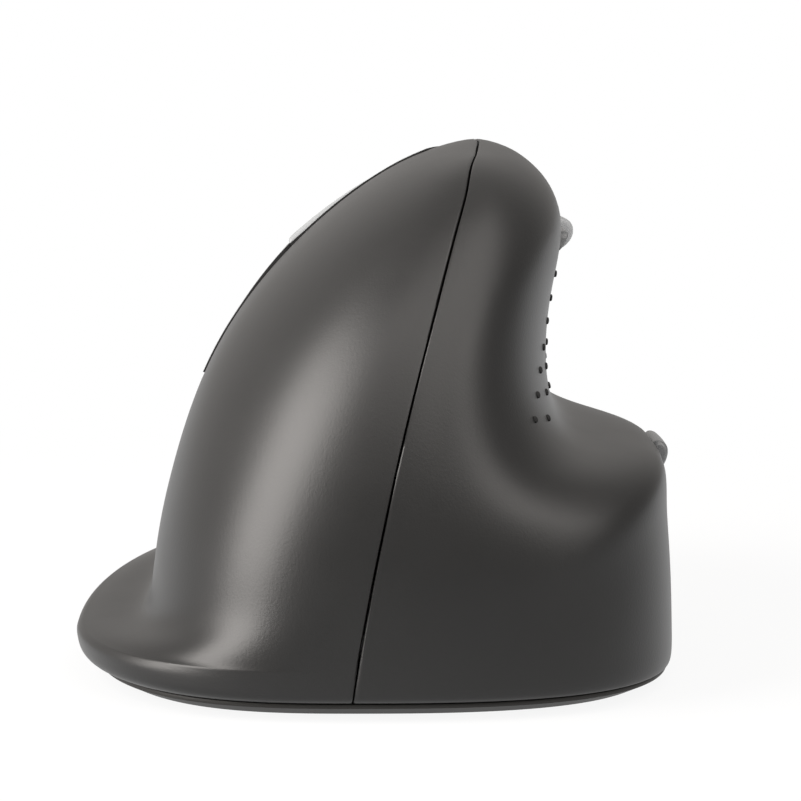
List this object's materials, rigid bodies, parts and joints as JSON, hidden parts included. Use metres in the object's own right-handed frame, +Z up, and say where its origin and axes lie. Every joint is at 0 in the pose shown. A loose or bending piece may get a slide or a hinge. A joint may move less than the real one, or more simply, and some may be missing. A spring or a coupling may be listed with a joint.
{
  "type": "vertical computer mouse",
  "caption": "Left-handed upright computer mouse: sloped finger side with keys and scroll wheel, thumb hollow with side buttons, flat base on glide feet.",
  "frame": {"origin": "on the desk, under the middle of the mouse's box", "axes": "+Y forward towards the nose, away from the user; +X to the right, where the thumb hollow is; +Z up"},
  "size_m": [0.0841, 0.1176, 0.0714],
  "materials": {
    "cover": "satin moulded plastic",
    "plate": "matt moulded plastic",
    "key": "silver-grey satin coating",
    "rubber": "matt rubber",
    "hub": "grey moulded plastic",
    "steel": "bright steel",
    "board": "solder mask",
    "switch": "black moulded plastic",
    "plunger": "pale moulded plastic",
    "lens": "clear moulded lens",
    "cell": "foil pouch",
    "foot": "low-friction plastic"
  },
  "bodies": {
    "chassis": {"palm_cover": "cover", "thumb_cover": "cover", "base_plate": "plate", "inner_frame": "plate", "key_pivot_rod": "steel", "wheel_switch": "switch", "grip_nubs": "rubber", "key_board": "board", "index_switch": "switch", "middle_switch": "switch", "side_board": "board", "side_screws": "steel", "forward_switch": "switch", "back_switch": "switch", "speed_board": "board", "speed_screws": "steel", "speed_switch": "switch", "main_board": "board", "board_chips": "switch", "optical_sensor": "switch", "sensor_lens": "lens", "battery": "cell", "battery_tray": "plate", "charge_port": "steel", "power_switch": "switch", "glide_feet": "foot", "base_screws": "steel", "frame_screws": "steel"},
    "index_key": {"index_key": "key"},
    "middle_key": {"middle_key": "key"},
    "index_plunger": {"index_plunger": "plunger"},
    "middle_plunger": {"middle_plunger": "plunger"},
    "wheel_carrier": {"wheel_carrier": "plate", "wheel_encoder": "switch", "wheel_plunger": "plunger"},
    "wheel": {"wheel_hub": "hub", "wheel_tyre": "rubber"},
    "forward_button": {"forward_button": "key", "forward_plunger": "plunger"},
    "back_button": {"back_button": "key", "back_plunger": "plunger"},
    "speed_button": {"speed_button": "key", "speed_plunger": "plunger"},
    "power_slider": {"power_slider": "hub"}
  },
  "joints": [
    {"name": "index_press", "type": "hinge", "parent": "chassis", "child": "index_key", "pos_m": [-0.00379, 0.0018, 0.05188], "axis": [-0.7071, 0, -0.7071], "range_deg": [0, 1.1], "stiffness_Nm_per_rad": 0.6},
    {"name": "middle_press", "type": "hinge", "parent": "chassis", "child": "middle_key", "pos_m": [-0.00379, 0.0018, 0.05188], "axis": [-0.7071, 0, -0.7071], "range_deg": [0, 0.9], "stiffness_Nm_per_rad": 0.8},
    {"name": "index_click", "type": "slide", "parent": "chassis", "child": "index_plunger", "axis": [0.7071, 0, -0.7071], "range_m": [0, 0.0003]},
    {"name": "middle_click", "type": "slide", "parent": "chassis", "child": "middle_plunger", "axis": [0.7071, 0, -0.7071], "range_m": [0, 0.0003]},
    {"name": "wheel_press", "type": "slide", "parent": "chassis", "child": "wheel_carrier", "axis": [0.7071, 0, -0.7071], "range_m": [0, 0.0005], "stiffness_N_per_m": 1200},
    {"name": "wheel_spin", "type": "hinge", "parent": "wheel_carrier", "child": "wheel", "pos_m": [-0.00259, 0.02557, 0.05142], "axis": [0.7071, 0, 0.7071], "continuous": true},
    {"name": "forward_press", "type": "slide", "parent": "chassis", "child": "forward_button", "axis": [-0.9808, -0.1912, -0.038], "range_m": [0, 0.0005], "stiffness_N_per_m": 1200},
    {"name": "back_press", "type": "slide", "parent": "chassis", "child": "back_button", "axis": [-0.9808, -0.1912, -0.038], "range_m": [0, 0.0005], "stiffness_N_per_m": 1200},
    {"name": "speed_press", "type": "slide", "parent": "chassis", "child": "speed_button", "axis": [-0.8534, -0.1813, -0.4886], "range_m": [0, 0.0005], "stiffness_N_per_m": 1200},
    {"name": "power_slide", "type": "slide", "parent": "chassis", "child": "power_slider", "axis": [1, 0, 0], "range_m": [0, 0.002]}
  ],
  "couplings": [
    {"joint": "index_click", "follows": "index_press", "m_per_rad": 0.014566},
    {"joint": "middle_click", "follows": "middle_press", "m_per_rad": 0.018063}
  ]
}
